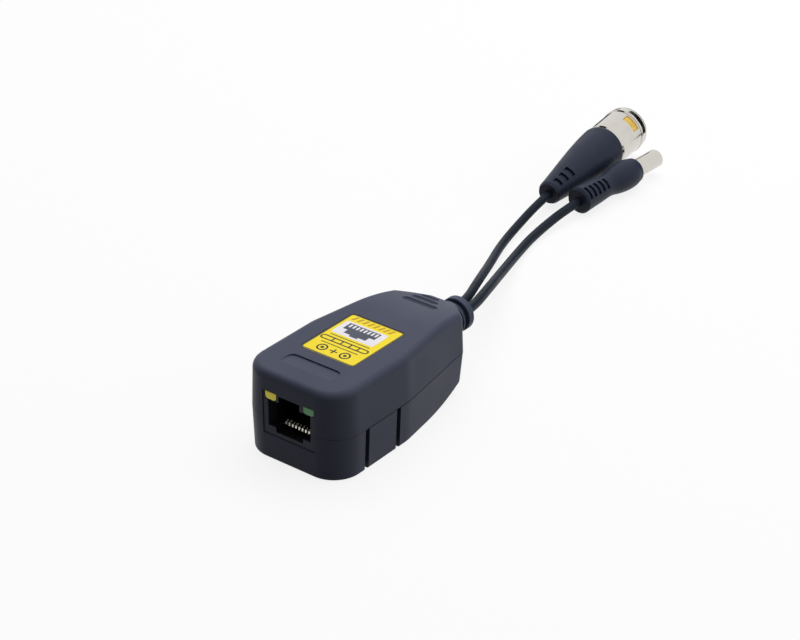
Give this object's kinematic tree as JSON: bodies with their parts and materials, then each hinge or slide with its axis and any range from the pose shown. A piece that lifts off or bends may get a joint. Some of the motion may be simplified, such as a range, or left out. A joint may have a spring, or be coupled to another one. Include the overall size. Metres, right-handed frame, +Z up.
{
  "type": "cctv video balun",
  "caption": "Passive video balun: tapered snap housing with a network jack, label and strain relief, and two short leads that end in a BNC plug and a DC power plug.",
  "frame": {"origin": "under the middle of the housing with its strain relief, on the surface it lies on", "axes": "+X right as seen from the jack, +Y from the jack towards the leads, +Z up"},
  "size_m": [0.0571, 0.2014, 0.0239],
  "materials": {
    "housing_plastic": "fine satin grain",
    "label_film": "printed satin film",
    "jack_plastic": "satin",
    "led_yellow_lens": "diffused lens",
    "led_green_lens": "diffused lens",
    "board_laminate": "solder mask",
    "ferrite": "sintered",
    "enamelled_wire": "enamel",
    "diode_glass": "moulded",
    "capacitor_ceramic": "dipped",
    "resistor_ceramic": "fired",
    "wire_insulation": "satin",
    "cable_jacket": "satin",
    "cable_rubber": "satin",
    "boot_rubber": "satin",
    "gold_contact": "gold plated",
    "contact_gold": "gold plated",
    "nickel_plate": "bright nickel",
    "dielectric_white": "satin",
    "gasket_rubber": "satin",
    "spring_steel": "bright",
    "dc_insulator_plastic": "moulded"
  },
  "bodies": {
    "housing": {"upper_shell": "housing_plastic", "lower_shell": "housing_plastic", "label": "label_film", "rj45_housing": "jack_plastic", "led_yellow": "led_yellow_lens", "led_green": "led_green_lens", "circuit_board": "board_laminate", "balun_core": "ferrite", "balun_winding": "enamelled_wire", "surge_diode": "diode_glass", "capacitor": "capacitor_ceramic", "led_resistors": "resistor_ceramic", "strain_relief": "cable_rubber", "video_core_wires": "wire_insulation", "power_core_wires": "wire_insulation", "video_cable": "cable_jacket", "power_cable": "cable_jacket", "bnc_boot": "boot_rubber", "bnc_plug_body": "gold_contact", "bnc_ferrule": "nickel_plate", "bnc_coax_core": "wire_insulation", "bnc_dielectric": "dielectric_white", "bnc_center_pin": "gold_contact", "bnc_gasket": "gasket_rubber", "bnc_wave_washer": "spring_steel", "dc_boot": "boot_rubber", "dc_barrel": "nickel_plate", "dc_insulator": "dc_insulator_plastic", "dc_tip_contact": "nickel_plate", "rj45_contact_1": "contact_gold", "rj45_contact_2": "contact_gold", "rj45_contact_3": "contact_gold", "rj45_contact_4": "contact_gold", "rj45_contact_5": "contact_gold", "rj45_contact_6": "contact_gold", "rj45_contact_7": "contact_gold", "rj45_contact_8": "contact_gold"},
    "nut_washer": {"bnc_thrust_washer": "nickel_plate"},
    "coupling_nut": {"bnc_coupling_nut": "nickel_plate"}
  },
  "joints": [
    {"name": "nut_push", "type": "slide", "parent": "housing", "child": "nut_washer", "axis": [-0.0713, 0.9948, 0.0724], "range_m": [0, 0.0008], "stiffness_N_per_m": 2000, "springref_m": -0.0003, "deforming": ["bnc_wave_washer"]},
    {"name": "nut_turn", "type": "hinge", "parent": "nut_washer", "child": "coupling_nut", "pos_m": [-0.03368, 0.15924, 0.00786], "axis": [-0.0713, 0.9948, 0.0724], "continuous": true}
  ]
}
